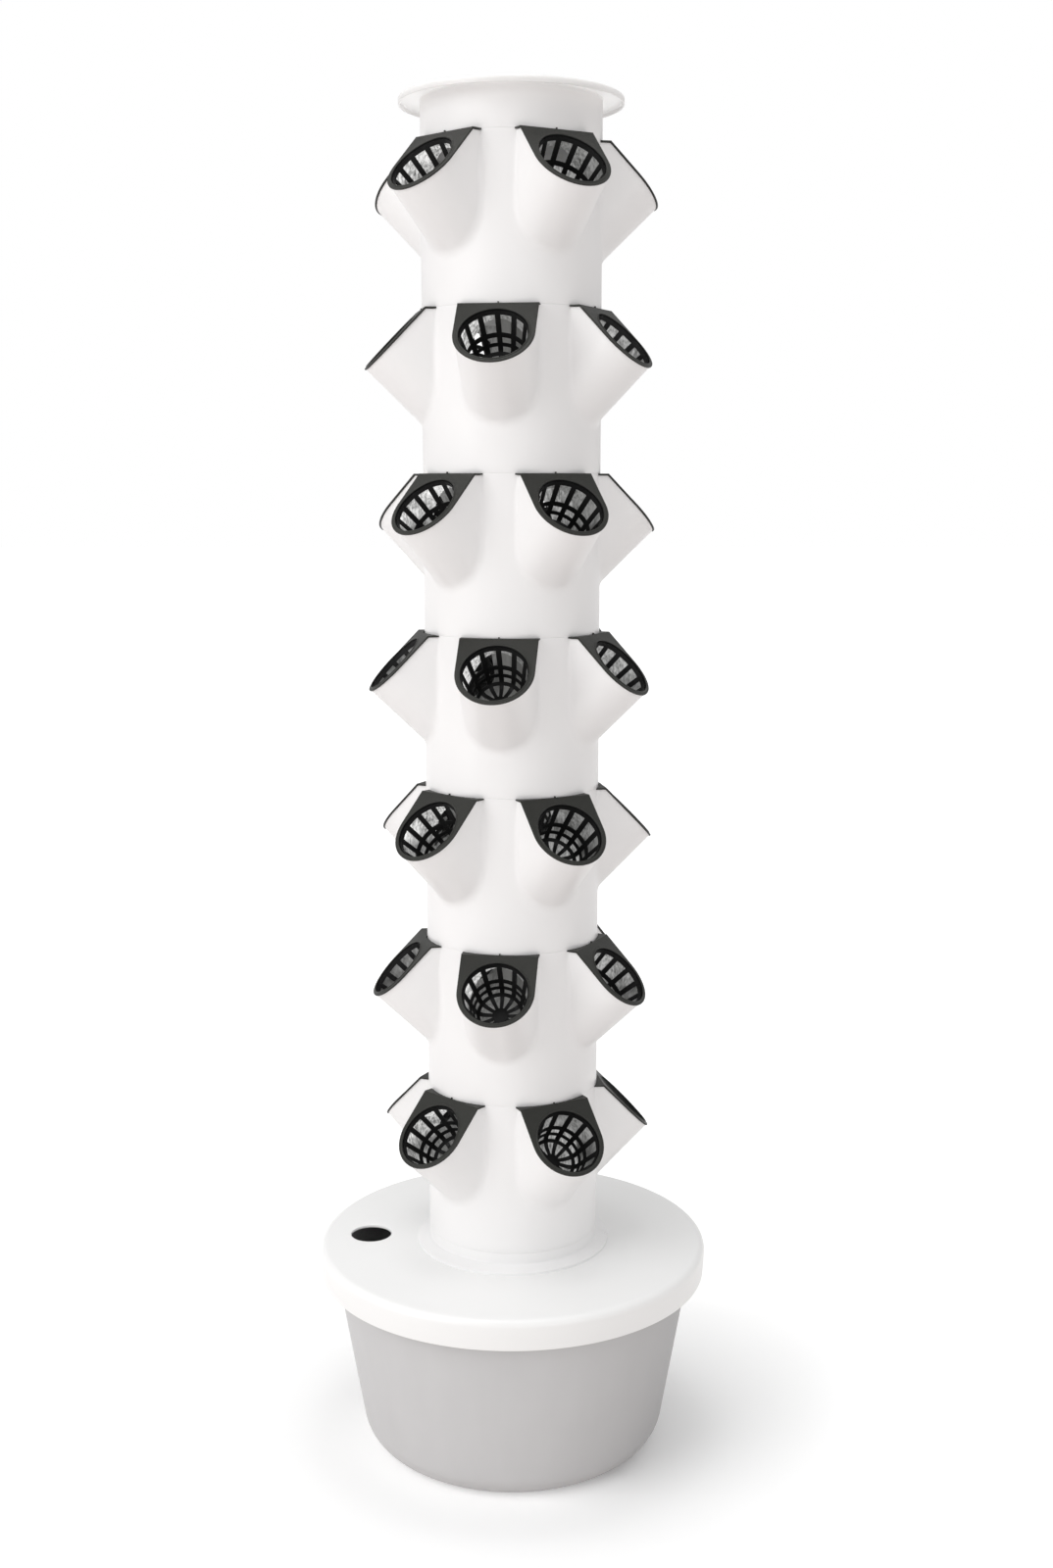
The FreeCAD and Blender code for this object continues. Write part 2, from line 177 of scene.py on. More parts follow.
class Val:
    def __init__(self, tree, socket):
        self.tree, self.socket = tree, socket

    def node(self, kind, settings=None, outlet=0, **sockets):
        # settings first, then the values or links of its sockets; i0, i1 … name one by number
        made = self.tree.nodes.new(kind)
        for key, value in (settings or {}).items():
            if key == "stops":
                ramp = made.color_ramp.elements
                while len(ramp) < len(value):
                    ramp.new(0.5)
                for stop, (place, shade) in zip(ramp, value):
                    stop.position = place
                    stop.color = (*shade, 1.0)
            else:
                setattr(made, key, value)
        for key, value in sockets.items():
            numbered = key[0] == "i" and key[1:].isdigit()
            target = made.inputs[int(key[1:]) if numbered else key]
            if isinstance(value, Val):
                self.tree.links.new(value.socket, target)
            else:
                target.default_value = value
        return Val(self.tree, made.outputs[outlet])

    def maths(self, operation, first, second=0.0):
        return self.node("ShaderNodeMath", {"operation": operation}, i0=first, i1=second)

    def __add__(self, other):
        return self.maths("ADD", self, other)

    def __radd__(self, other):
        return self.maths("ADD", other, self)

    def __sub__(self, other):
        return self.maths("SUBTRACT", self, other)

    def __rsub__(self, other):
        return self.maths("SUBTRACT", other, self)

    def __mul__(self, other):
        return self.maths("MULTIPLY", self, other)

    def __rmul__(self, other):
        return self.maths("MULTIPLY", other, self)

    def clamped(self, low=0.0, high=1.0):
        return self.maths("MINIMUM", self.maths("MAXIMUM", self, low), high)

    def rising(self, start, reach):
        # 0 up to the start, growing evenly to 1 over the reach
        return ((self - start) * (1 / reach)).clamped()

    def mixed(self, first, second):
        # colour mix with this value as the factor; a plain colour is three numbers
        first, second = (end if isinstance(end, Val) else (*end, 1.0) for end in (first, second))
        return self.node("ShaderNodeMix", {"data_type": "RGBA"}, 2, i0=self, i6=first, i7=second)


def clearedTree(owner):
    # the emptied node tree of a material or world
    owner.use_nodes = True
    owner.node_tree.nodes.clear()
    return owner.node_tree


def objectPlace(tree):
    # the point's place in the object's own coordinates
    return Val(tree, tree.nodes.new("ShaderNodeTexCoord").outputs["Object"])


def newMaterial(name):
    # a Principled shader wired to the output, and the place that its patterns read
    material = bpy.data.materials.new(name)
    tree = clearedTree(material)
    out = tree.nodes.new("ShaderNodeOutputMaterial")
    shader = tree.nodes.new("ShaderNodeBsdfPrincipled")
    tree.links.new(shader.outputs[0], out.inputs[0])
    return material, shader, objectPlace(tree)


def link(shader, **sockets):
    # sets or links the shader's sockets, named with _ for a space
    for name, value in sockets.items():
        target = shader.inputs[name.replace("_", " ")]
        if isinstance(value, Val):
            value.tree.links.new(value.socket, target)
        else:
            target.default_value = value


def noise(base, scale, detail=3.0, roughness=0.5):
    # noise with about that many bumps to the metre
    sockets = {"Scale": scale, "Detail": detail, "Roughness": roughness}
    return base.node("ShaderNodeTexNoise", Vector=base, **sockets)


def axisOf(base, axis):
    # one coordinate of the place
    return base.node("ShaderNodeSeparateXYZ", None, "xyz".index(axis), Vector=base)


def vectorMaths(operation, outlet=0, **vectors):
    # outlet 0 is a vector and outlet 1 a number
    settings = {"operation": operation}
    return vectors["i0"].node("ShaderNodeVectorMath", settings, outlet, **vectors)


def bumped(height, strength, distance=0.0004):
    # the height's slope as a bump, up to that distance high
    return height.node("ShaderNodeBump", Height=height, Strength=strength, Distance=distance)


def greyRamp(value, pairs):
    # a grey level for the value, from (value, level) stops
    stops = [(place, (level,) * 3) for place, level in pairs]
    return value.node("ShaderNodeValToRGB", {"stops": stops}, Fac=value)


moulded = {"drift": 9.0, "broadScale": 0.12, "broadShare": 1.5, "glossSwing": 0.16,
           "coatRough": 0.25, "ior": 1.48}
plastics = {
    "whitePlastic": {"low": (0.86, 0.855, 0.855), "high": (0.89, 0.885, 0.885), "rough": 0.42,
                     "grain": 420.0, "bump": 0.15, "coat": 0.1},
    "lidWhite": {"low": (0.885, 0.885, 0.88), "high": (0.91, 0.91, 0.905), "rough": 0.34,
                 "grain": 300.0, "bump": 0.12, "coat": 0.2},
    "collarPaintedGlow": {"low": (0.86, 0.855, 0.855), "high": (0.89, 0.885, 0.885), "rough": 0.42,
                    "grain": 420.0, "bump": 0.15, "coat": 0.1,
                    # painted light: the collar's wall glows more towards its top, under the cap
                    "paintedDaylight": {"foot": 1.528, "top": 1.5594, "level": 0.17,
                                "none": (0.0, 0.0, 0.0), "full": (1.0, 0.99, 0.98)}},
    "cupBlack": {"low": (0.017, 0.0175, 0.0145), "high": (0.026, 0.0265, 0.023), "rough": 0.5,
                 "grain": 700.0, "bump": 0.3, "shine": 0.35},
    "basketBlack": {"low": (0.004, 0.004, 0.004), "high": (0.009, 0.009, 0.009), "rough": 0.45,
                    "grain": 500.0, "bump": 0.3, "shine": 0.25},
    "pipeWhite": {"low": (0.40, 0.40, 0.39), "high": (0.46, 0.46, 0.45), "rough": 0.3,
                  "grain": 240.0, "bump": 0.1, "coat": 0.1},
    "pumpBlack": {"low": (0.022, 0.022, 0.025), "high": (0.034, 0.034, 0.037), "rough": 0.5,
                  "grain": 500.0, "bump": 0.5}}


def mouldedPlastic(name, low, high, rough, grain, bump, coat=0.0, shine=0.5, paintedDaylight=None):
    # the colour drifts slowly between two tones, fine grain swings the gloss about its middle, and
    # the bump is that grain plus a share of a broader one
    material, shader, base = newMaterial(name)
    drift = noise(base, moulded["drift"], detail=2.0)
    fine = noise(base, grain)
    broad = noise(base, grain * moulded["broadScale"], detail=2.0)
    swing = moulded["glossSwing"]
    link(shader, Base_Color=drift.mixed(low, high), IOR=moulded["ior"], Specular_IOR_Level=shine)
    link(shader, Roughness=(fine * swing + (rough - swing / 2)).clamped())
    link(shader, Normal=bumped(fine + broad * moulded["broadShare"], bump))
    link(shader, Coat_Weight=coat, Coat_Roughness=moulded["coatRough"])
    if paintedDaylight:
        # painted light: a glow that stands in for the daylight the wall lets in grows with the
        # square of the share of the height
        share = axisOf(base, "z").rising(paintedDaylight["foot"], paintedDaylight["top"] - paintedDaylight["foot"])
        daylight = (share * share).mixed(paintedDaylight["none"], paintedDaylight["full"])
        link(shader, Emission_Color=daylight, Emission_Strength=paintedDaylight["level"])
    return material


tubFinish = {"streakScale": (26.0, 26.0, 5.0), "streakRoughness": 0.55, "streaks": 0.75,
             "cloudScale": 14.0, "cloud": 0.5, "less": 0.12, "low": (0.56, 0.56, 0.565),
             "high": (0.615, 0.615, 0.62), "shade": (0.37, 0.37, 0.375), "shadeFrom": -0.02,
             "shadeReach": 0.22, "shadeLean": 0.25, "grain": 520.0, "bump": 0.25, "rough": 0.5,
             "glossSwing": 0.12, "coat": 0.04, "coatRough": 0.3, "ior": 1.48}


def tubPlastic():
    # matt grey with soft upright streaks, as sheet drawn over a mould has; a painted shade makes it
    # darker on the side away from the key light, by the square of the way across, which leans with
    # the height
    material, shader, base = newMaterial("tubGrey")
    tall = vectorMaths("MULTIPLY", i0=base, i1=tubFinish["streakScale"])
    streaks = noise(tall, 1.0, roughness=tubFinish["streakRoughness"])
    cloud = noise(base, tubFinish["cloudScale"], detail=2.0)
    fine = noise(base, tubFinish["grain"])
    share = streaks * tubFinish["streaks"] + cloud * tubFinish["cloud"] - tubFinish["less"]
    plain = share.clamped().mixed(tubFinish["low"], tubFinish["high"])
    # painted shade: it grows to the right and lower down
    across = axisOf(base, "x") - axisOf(base, "z") * tubFinish["shadeLean"]
    paintedShadeShare = across.rising(tubFinish["shadeFrom"], tubFinish["shadeReach"])
    gloss = (fine * tubFinish["glossSwing"] + tubFinish["rough"]).clamped()
    link(shader, Base_Color=(paintedShadeShare * paintedShadeShare).mixed(plain, tubFinish["shade"]), Roughness=gloss)
    link(shader, Normal=bumped(fine, tubFinish["bump"]), IOR=tubFinish["ior"])
    link(shader, Coat_Weight=tubFinish["coat"], Coat_Roughness=tubFinish["coatRough"])
    return material


# painted light and painted shade of the bores' inner walls, set by height and by the way across
paintedGlow = {"foot": 0.268, "pitch": 0.178, "halfWidth": 0.13, "frontEnds": (-0.02, -0.07),
        "strength": 1.4, "dark": (0.006, 0.006, 0.0057), "light": (1.0, 1.0, 0.99),
        "markScale": (420.0, 420.0, 150.0), "markRoughness": 0.65, "markContrast": (3.4, 1.2),
        "marks": 0.65, "cloudScale": 45.0, "cloudContrast": (2.6, 0.8), "cloud": 0.35,
        "wallDark": (0.16, 0.16, 0.152), "wallLight": (0.50, 0.50, 0.49), "bump": (0.4, 0.0005),
        "rough": 0.4, "glossSwing": 0.2, "ior": 1.48,
        "byHeight": [(0.0, 0.45), (0.30, 0.9), (0.45, 0.95), (0.60, 0.35), (0.66, 0.30),
                     (0.74, 0.9), (0.88, 1.0), (1.0, 0.7)],
        "byFront": [(0.0, 1.0), (0.34, 0.85), (0.42, 0.45), (0.52, 0.2), (1.0, 0.22)],
        "byRear": [(0.0, 0.19), (0.42, 0.13), (0.55, 0.13), (0.68, 0.4), (1.0, 0.4)]}


def borePlastic():
    # inside of the white walls: painted light and painted shade stand in for daylight that comes in
    # where no spout covers the wall, so the glow and the wall's tone are a level by the share of
    # the tier's height, times a level by the way across, which goes from the rear's to the front's,
    # times the water marks that make it uneven
    material, shader, base = newMaterial("borePaintedGlow")
    tall = vectorMaths("MULTIPLY", i0=base, i1=paintedGlow["markScale"])
    (markGain, markLess), (cloudGain, cloudLess) = paintedGlow["markContrast"], paintedGlow["cloudContrast"]
    marks = noise(tall, 1.0, detail=4.0, roughness=paintedGlow["markRoughness"])
    marks = (marks * markGain - markLess).clamped()
    cloud = (noise(base, paintedGlow["cloudScale"]) * cloudGain - cloudLess).clamped()
    x, y, z = (axisOf(base, axis) for axis in "xyz")
    tiers = (z - paintedGlow["foot"]) * (1 / paintedGlow["pitch"])
    paintedHeightLevel = greyRamp(tiers.maths("FRACT", tiers), paintedGlow["byHeight"])
    sideways = x * (0.5 / paintedGlow["halfWidth"]) + 0.5
    near, far = paintedGlow["frontEnds"]
    front = y.rising(near, far - near)
    paintedFrontLevel, paintedRearLevel = greyRamp(sideways, paintedGlow["byFront"]), greyRamp(sideways, paintedGlow["byRear"])
    across = front * paintedFrontLevel + (1.0 - front) * paintedRearLevel
    # painted light and shade: this share feeds both the wall's tone and its glow
    share = (marks * paintedGlow["marks"] + cloud * paintedGlow["cloud"]).clamped() * paintedHeightLevel * across
    link(shader, Base_Color=share.mixed(paintedGlow["wallDark"], paintedGlow["wallLight"]), IOR=paintedGlow["ior"])
    link(shader, Roughness=(marks * paintedGlow["glossSwing"] + paintedGlow["rough"]).clamped())
    link(shader, Normal=bumped(marks, *paintedGlow["bump"]), Emission_Strength=paintedGlow["strength"])
    link(shader, Emission_Color=share.mixed(paintedGlow["dark"], paintedGlow["light"]))
    return material


milk = {"low": (0.70, 0.69, 0.68), "high": (0.75, 0.74, 0.73), "drift": 11.0, "grain": 260.0,
        "bump": 0.1, "rough": 0.3, "glossSwing": 0.1, "coat": 0.1, "coatRough": 0.2, "ior": 1.45,
        "cloudy": 0.8, "reach": (1.0, 1.0, 1.0), "depth": 0.02, "paintedGlow": (1.0, 0.985, 0.97),
        "paintedGlowLevel": 0.06}


def milkyPlastic():
    # thin cloudy plastic that scatters light inside and lets some of it reach its underside, helped
    # by a faint painted glow all over
    material, shader, base = newMaterial("capMilkAndPaintedGlow")
    drift, fine = noise(base, milk["drift"], detail=2.0), noise(base, milk["grain"])
    link(shader, Base_Color=drift.mixed(milk["low"], milk["high"]), IOR=milk["ior"])
    link(shader, Roughness=(fine * milk["glossSwing"] + milk["rough"]).clamped())
    link(shader, Normal=bumped(fine, milk["bump"]), Subsurface_Weight=milk["cloudy"])
    link(shader, Subsurface_Radius=milk["reach"], Subsurface_Scale=milk["depth"])
    link(shader, Coat_Weight=milk["coat"], Coat_Roughness=milk["coatRough"])
    # painted light: a faint even glow of the cap's own
    link(shader, Emission_Color=(*milk["paintedGlow"], 1.0), Emission_Strength=milk["paintedGlowLevel"])
    return material


finish = {name: mouldedPlastic(name, **settings) for name, settings in plastics.items()}
tubGrey, borePaintedGlow, capMilkAndPaintedGlow = tubPlastic(), borePlastic(), milkyPlastic()
print("materials made")

# tub and lid

tub = {"footRadius": 175.4, "rimRadius": 217.5, "footRound": 42.0, "wall": 3.0, "lipHeight": 7.0,
       "edge": 1.0, "lipCorner": 0.8, "arcSteps": 10, "steps": 192}


def makeTub():
    # a tapered wall with a large foot round, closed by its inner wall: the radius at a height is
    # the foot's plus the slant times that height
    top, lip, wall, edge = topOf("tub"), outerRadius("tub"), tub["wall"], tub["edge"]
    foot, rim, footRound = tub["footRadius"], tub["rimRadius"], tub["footRound"]
    slant = (rim - foot) / top
    lipLow = top - tub["lipHeight"]
    section = roundedLine([
        (0.0, 0.0), (foot, 0.0, footRound), (foot + slant * lipLow, lipLow, tub["lipCorner"]),
        (lip, lipLow, edge), (lip, top, edge), (rim - wall, top, edge),
        (foot - wall, wall, footRound - wall), (0.0, wall)], tub["arcSteps"], closed=False)
    shell = turned(section, tub["steps"], closed=False)
    buildPiece("tubShell", [(shell, True, 0)], [tubGrey], "base", ["tub"])


lid = {"round": 8.0, "wall": 3.0, "draft": 2.0, "bore": 104.3, "shoulder": 4.0, "edge": 0.9,
       "corner": 3.0, "holeRadius": 24.3, "holeDistance": 172.0, "holeAzimuth": -92.0,
       "holeEdges": (1.0, 0.6), "edgeEase": 0.3, "holeRing": 5.0, "innerRings": (112.0, 126.0),
       "outerRing": 212.0, "patchLow": 140.0, "patchHigh": 204.0, "patchRows": 13,
       "patchHalf": 10, "arcSteps": 8, "steps": 288}
holeAngle = math.radians(lid["holeAzimuth"] - 90.0)


def lidPlate(height, outer, edge):
    # flat ring of the lid round its bore, with a block of cells opened round the fill hole: rings
    # go straight from the block's border to the hole's centre, and end at the hole's radius
    inner, steps, half = lid["bore"], lid["steps"], lid["patchHalf"]
    turn = holeAngle + 2 * math.pi * (np.arange(steps) - half) / steps

    def polar(radii, angles):
        r = np.asarray(radii)[:, None]
        return stacked(r * np.cos(angles), r * np.sin(angles), height)

    radii = np.linspace(lid["patchLow"], lid["patchHigh"], lid["patchRows"])
    patches = [
        (polar([inner, *lid["innerRings"], lid["patchLow"]], turn), True, 0),
        (polar([lid["patchHigh"], lid["outerRing"], outer], turn), True, 0),
        (polar(radii, np.append(turn[2 * half:], turn[0] + 2 * math.pi)), False, 0)]
    block = polar(radii, turn[: 2 * half + 1])
    border = np.concatenate([block[0, :-1], block[:-1, -1], block[-1, :0:-1], block[:0:-1, 0]])
    centre = lid["holeDistance"] * np.array([math.cos(holeAngle), math.sin(holeAngle)])
    out = border[:, :2] - centre
    out /= np.hypot(out[:, 0], out[:, 1])[:, None]
    hole, ease = lid["holeRadius"], edge * lid["edgeEase"]
    lip = ((hole + lid["holeRing"], 0.0), (hole + edge, 0.0), (hole + ease, ease), (hole, edge))
    rings = [border]
    for size, drop in lip:
        rings.append(np.column_stack([centre + out * size, np.full(len(out), height - drop)]))
    return patches, np.stack(rings)


def makeLid():
    # two flat rings joined by the shoulder, the skirt and the walls of both holes
    top, foot, outer = topOf("lid"), footOf("lid"), outerRadius("lid")
    skirtOut, under, edge = outer - lid["draft"], top - lid["wall"], lid["edge"]
    skirtIn = skirtOut - lid["wall"]
    flatEnd = outer - lid["round"] - lid["shoulder"]
    upper, upperRings = lidPlate(top, flatEnd, lid["holeEdges"][0])
    lower, lowerRings = lidPlate(under, flatEnd, lid["holeEdges"][1])
    lowerRings[..., 2] = under
    wallRings = np.stack([upperRings[-1], lowerRings[-1]])
    skirt = roundedLine([
        (flatEnd, top), (outer, top, lid["round"]), (skirtOut, foot, edge), (skirtIn, foot, edge),
        (skirtIn, under, lid["corner"]), (flatEnd, under)], lid["arcSteps"], closed=False)
    bore = np.array([(lid["bore"], under), (lid["bore"], top)])
    start = holeAngle - 2 * math.pi * lid["patchHalf"] / lid["steps"]
    patches = upper + lower + [(rings, True, 0) for rings in (upperRings, lowerRings, wallRings)]
    for line in (skirt, bore):
        patches.append((turned(line, lid["steps"], False, start), True, 0))
    buildPiece("lidShell", patches, [finish["lidWhite"]], "lid", ["lid"])


# the notch's half width and ease are angles in radians
socket = {"skirt": 104.0, "skirtCorner": 0.8, "flange": 114.5, "edge": 2.8, "corner": 0.6,
          "slopeGap": 1.2, "slopeRound": 1.6, "slopeRise": 0.8, "rimCorner": 0.7, "arcSteps": 5,
          "steps": 360, "notchHalf": 0.042, "notchEase": 0.006, "notchDepth": 4.0,
          "notchFrom": 105.0}


def makeSocket():
    # ring on the lid that carries the column, its sloping foot notched at one side: there the
    # radius is at most the flange's less the notch's depth, easing in at the notch's ends
    low, high, lidTop = footOf("base_socket"), topOf("base_socket"), topOf("lid")
    rise = high - column["neck"]
    big, bore, skirt, flange = column["radius"], column["bore"], socket["skirt"], socket["flange"]
    corner, rim, skirtCorner = socket["corner"], socket["rimCorner"], socket["skirtCorner"]
    section = roundedLine([
        (bore, low, skirtCorner), (skirt, low, skirtCorner), (skirt, lidTop), (flange, lidTop),
        (flange, lidTop + socket["edge"], corner),
        (big + socket["slopeGap"], rise, socket["slopeRound"]),
        (big, rise + socket["slopeRise"], corner), (big, high, rim), (bore, high, rim)],
        socket["arcSteps"])
    grid = turned(section, socket["steps"])
    x, y, z = (grid[..., i] for i in range(3))
    r, a = np.hypot(x, y), np.arctan2(y, x)
    inside = np.clip((socket["notchHalf"] - np.abs(a)) / socket["notchEase"] + 0.5, 0, 1)
    cut = np.minimum(r, flange - socket["notchDepth"] * inside * (r > socket["notchFrom"])) / r
    patches = [(stacked(x * cut, y * cut, z), True, 0)]
    buildPiece("baseSocket", patches, [finish["whitePlastic"]], "lid", ["base_socket"])


makeTub()
makeLid()
makeSocket()
print("tub, lid and base socket made")

# tiers: barrel sectors, and spouts whose sides are blended into the barrel

spout = {"slope": 46.0, "bend": 102.5, "drop": 46.5, "radius": 42.0, "bore": 39.5, "seat": 2.3,
         "pitch": 178.0, "ease": 0.4, "easeShare": 0.3, "boreEnd": 0.5}
spigot = {"depth": 8.0, "radius": 96.4, "bore": 94.0, "root": 4.0, "edge": 0.6}
blend = {"size": 5.0, "from": 8.0, "reach": 22.0, "keepTop": 4.0, "keepFoot": 12.0, "least": 1e-4,
         "rounds": 6, "step": 0.01, "leastSlope": 0.2}
cells = {"arc": 41, "beside": 10, "across": 15, "out": 29, "evenRows": 7, "closeRows": 14,
         "evenShare": 0.6, "crowding": 1.6, "outCrowding": 1.9, "bore": 5, "mouth": 31,
         "mouthBeside": 6, "spigot": 25}
sine, cosine = math.sin(math.radians(spout["slope"])), math.cos(math.radians(spout["slope"]))


def onFlange(down, side, out):
    # place by the way down the mouth's plane, sideways, and out along the spout
    down, side, out = np.broadcast_arrays(down, side, out)
    return stacked(spout["bend"] + down * cosine + out * sine, side, -down * sine + out * cosine)


def wall(angles, heights, radius):
    # points of an upright cylinder
    return stacked(radius * np.cos(angles), radius * np.sin(angles), heights)


def blended(points):
    # moves points near the seam onto a smooth union of the barrel and the half-round spout, which
    # is the lesser of both depths, less a quarter of the blend's size times the square of how near
    # they are; each round goes down the depth's slope by the depth
    def depth(p):
        x, y, z = (p[..., i] for i in range(3))
        down = (x - spout["bend"]) * cosine - z * sine
        out = (x - spout["bend"]) * sine + z * cosine
        barrel = np.hypot(x, y) - column["radius"]
        body = np.hypot(np.maximum(down - spout["drop"], 0.0), y) - spout["radius"]
        share = np.clip((-out - blend["from"]) / blend["reach"], 0.0, 1.0)
        size = np.maximum(blend["size"] * share, blend["least"])
        near = np.maximum(size - np.abs(barrel - body), 0.0) / size
        return np.minimum(barrel, body) - near * near * size / 4

    p, step = points.copy(), blend["step"]
    height, foot = p[..., 2], blend["keepFoot"] - spout["pitch"]
    keep = ((height > -blend["keepTop"]) | (height < foot))[..., None]
    for _ in range(blend["rounds"]):
        d = depth(p)
        slopes = stacked(*(depth(p + shift) - d for shift in np.eye(3) * step)) / step
        square = np.maximum((slopes**2).sum(-1, keepdims=True), blend["leastSlope"])
        p = np.where(keep, p, p - d[..., None] * slopes / square)
    return p


def tierSector():
    # patches of one fifth of a tier, drawn along +X with the tier's top edge at height 0; the seam
    # of spout and barrel is where the half round's plane coordinates meet the barrel's radius
    big, bore, ease, bend = column["radius"], column["bore"], spout["ease"], spout["bend"]
    r, drop, seat, low = spout["radius"], spout["drop"], spout["seat"], -spout["pitch"]
    beside, many, crowding, even = (cells[k] for k in ("beside", "across", "crowding", "evenShare"))
    halfStep = math.pi / column["spouts"]
    phi = np.linspace(-math.pi / 2, math.pi / 2, cells["arc"])
    side, under = r * np.sin(phi), drop + r * np.cos(phi)
    edge = math.asin(r / big)
    onWall = np.sqrt(big**2 - side**2)
    seam = ((onWall - bend) * cosine - drop - r * np.cos(phi)) / sine
    patches = []
    # barrel below the spout
    outside = edge + (halfStep - edge) * np.linspace(0, 1, beside + 1)[1:] ** crowding
    angles = np.concatenate([-outside[::-1], np.arcsin(side / big), outside])
    upper = np.concatenate([np.full(beside, seam[0]), seam, np.full(beside, seam[0])])
    close = 1 - (1 - np.linspace(0, 1, cells["closeRows"])) ** crowding * (1 - even)
    share = np.concatenate([np.linspace(0, even, cells["evenRows"] + 1)[:-1], close])[:, None]
    heights = (low + ease) + (upper - low - ease) * share
    patches.append((blended(wall(angles, heights, big)), False, 0))
    # barrel between the spouts
    rise = np.append(seam[0] + (-seat - seam[0]) * np.linspace(0, 1, many), -ease)[:, None]
    for sign in (-1, 1):
        patches.append((blended(wall(sign * np.append(edge, outside), rise, big)), False, 0))
    # strip of barrel above the level seat
    across = np.linspace(-r, r, many)
    stripEnds = np.array([[-seat], [-ease]])
    patches.append((wall(np.arcsin(across / big), stripEnds, big), False, 0))
    # top and bottom edges, eased
    topAngles = np.concatenate([-outside[::-1], np.arcsin(across / big), outside])
    ends = ((0.0, ease, bore, topAngles), (low, -ease, spigot["radius"], angles))
    for height, down, inner, along in ends:
        part = spout["easeShare"]
        ring = [(big, height - down), (big - part * ease, height - part * down),
                (big - ease, height), (inner, height)]
        patches.append((np.stack([wall(along, z, q) for q, z in ring]), False, 0))
    # spout: the half round below, and its two straight sides
    rim = -seat
    inward = (onWall - bend - under * cosine) / sine
    t = np.linspace(0, 1, cells["out"]) ** cells["outCrowding"]
    halfRound = onFlange(under, side, inward + (rim - inward) * t[:, None])
    patches.append((blended(halfRound), False, 0))
    bendX = bend + seat * (cosine - 1) / sine
    bendDown = (bendX - bend) * cosine + seat * sine
    sideX = math.sqrt(big**2 - r**2)
    foot = onFlange(drop, r, inward[0] + (rim - inward[0]) * t)
    head = stacked(sideX + (bendX - sideX) * t, r, -seat)
    v = np.linspace(0, 1, many)[:, None, None]
    panel = foot * (1 - v) + head * v
    for mirror in (1, -1):
        patches.append((blended(panel * np.array([1, mirror, 1])), False, 0))
    # level seat behind the bend
    seatEnds = (np.sqrt(big**2 - across**2), bendX)
    patches.append((np.stack([stacked(x, across, -seat) for x in seatEnds]), False, 0))
    # rim of the mouth: from the outline of the spout to its bore
    half = drop + (bendDown - drop) * np.linspace(0, 1, many)
    outline = np.concatenate([
        stacked(under, side), stacked(half, r)[1:], stacked(bendDown, across[::-1])[1:],
        stacked(half[::-1], -r)[1:-1]])
    away = np.arctan2(outline[:, 1], outline[:, 0] - drop)
    hole = stacked(drop + spout["bore"] * np.cos(away), spout["bore"] * np.sin(away))
    mouth = np.stack([onFlange(p[:, 0], p[:, 1], rim) for p in (outline, hole)])
    patches.append((mouth, True, 0))
    # bore, from the rim to just past the barrel's inner wall
    down, across = hole[:, 0], hole[:, 1]
    inside = np.sqrt((bore - spout["boreEnd"]) ** 2 - across**2)
    reach = (inside - bend - down * cosine) / sine
    rows = np.linspace(0, 1, cells["bore"])[:, None]
    patches.append((onFlange(down, across, rim + (reach - rim) * rows), True, 1))
    # inner wall above and below the bore's mouth
    q = np.linspace(-math.pi / 2, math.pi / 2, cells["mouth"])
    y = spout["bore"] * np.sin(q)
    x = np.sqrt(bore**2 - y**2)
    inEdge, more = math.asin(spout["bore"] / bore), cells["mouthBeside"]
    beyond = inEdge + (halfStep - inEdge) * np.linspace(0, 1, more + 1)[1:]
    angles = np.concatenate([-beyond[::-1], np.arcsin(y / bore), beyond])
    root = low + spigot["root"]
    for sign, end in ((-1, 0.0), (1, root)):
        curve = ((x - bend) * cosine - drop - sign * spout["bore"] * np.cos(q)) / sine
        curve = np.concatenate([np.full(more, curve[0]), curve, np.full(more, curve[0])])
        patches.append((wall(angles, curve + (end - curve) * rows, bore), False, 1))
    # spigot
    hoop = np.linspace(-halfStep, halfStep, cells["spigot"])
    tip, outer, corner = low - spigot["depth"], spigot["radius"], spigot["edge"]
    ring = [(outer, low), (outer, tip + corner), (outer - corner, tip), (spigot["bore"], tip),
            (spigot["bore"], root), (bore, root)]
    patches.append((np.stack([wall(hoop, z, q) for q, z in ring]), False, 0))
    return patches


sector = tierSector()
for tier in range(1, column["tiers"] + 1):
    node, patches = f"tier_{tier}", []
    for k in range(column["spouts"]):
        patches += placed(sector, spoutAzimuth(tier, k), topOf(node))
    # the bores' finish is painted light and painted shade
    buildPiece(f"tierBody_{tier}", patches, [finish["whitePlastic"], borePaintedGlow], node, [node])
print("tiers made")

# net cups

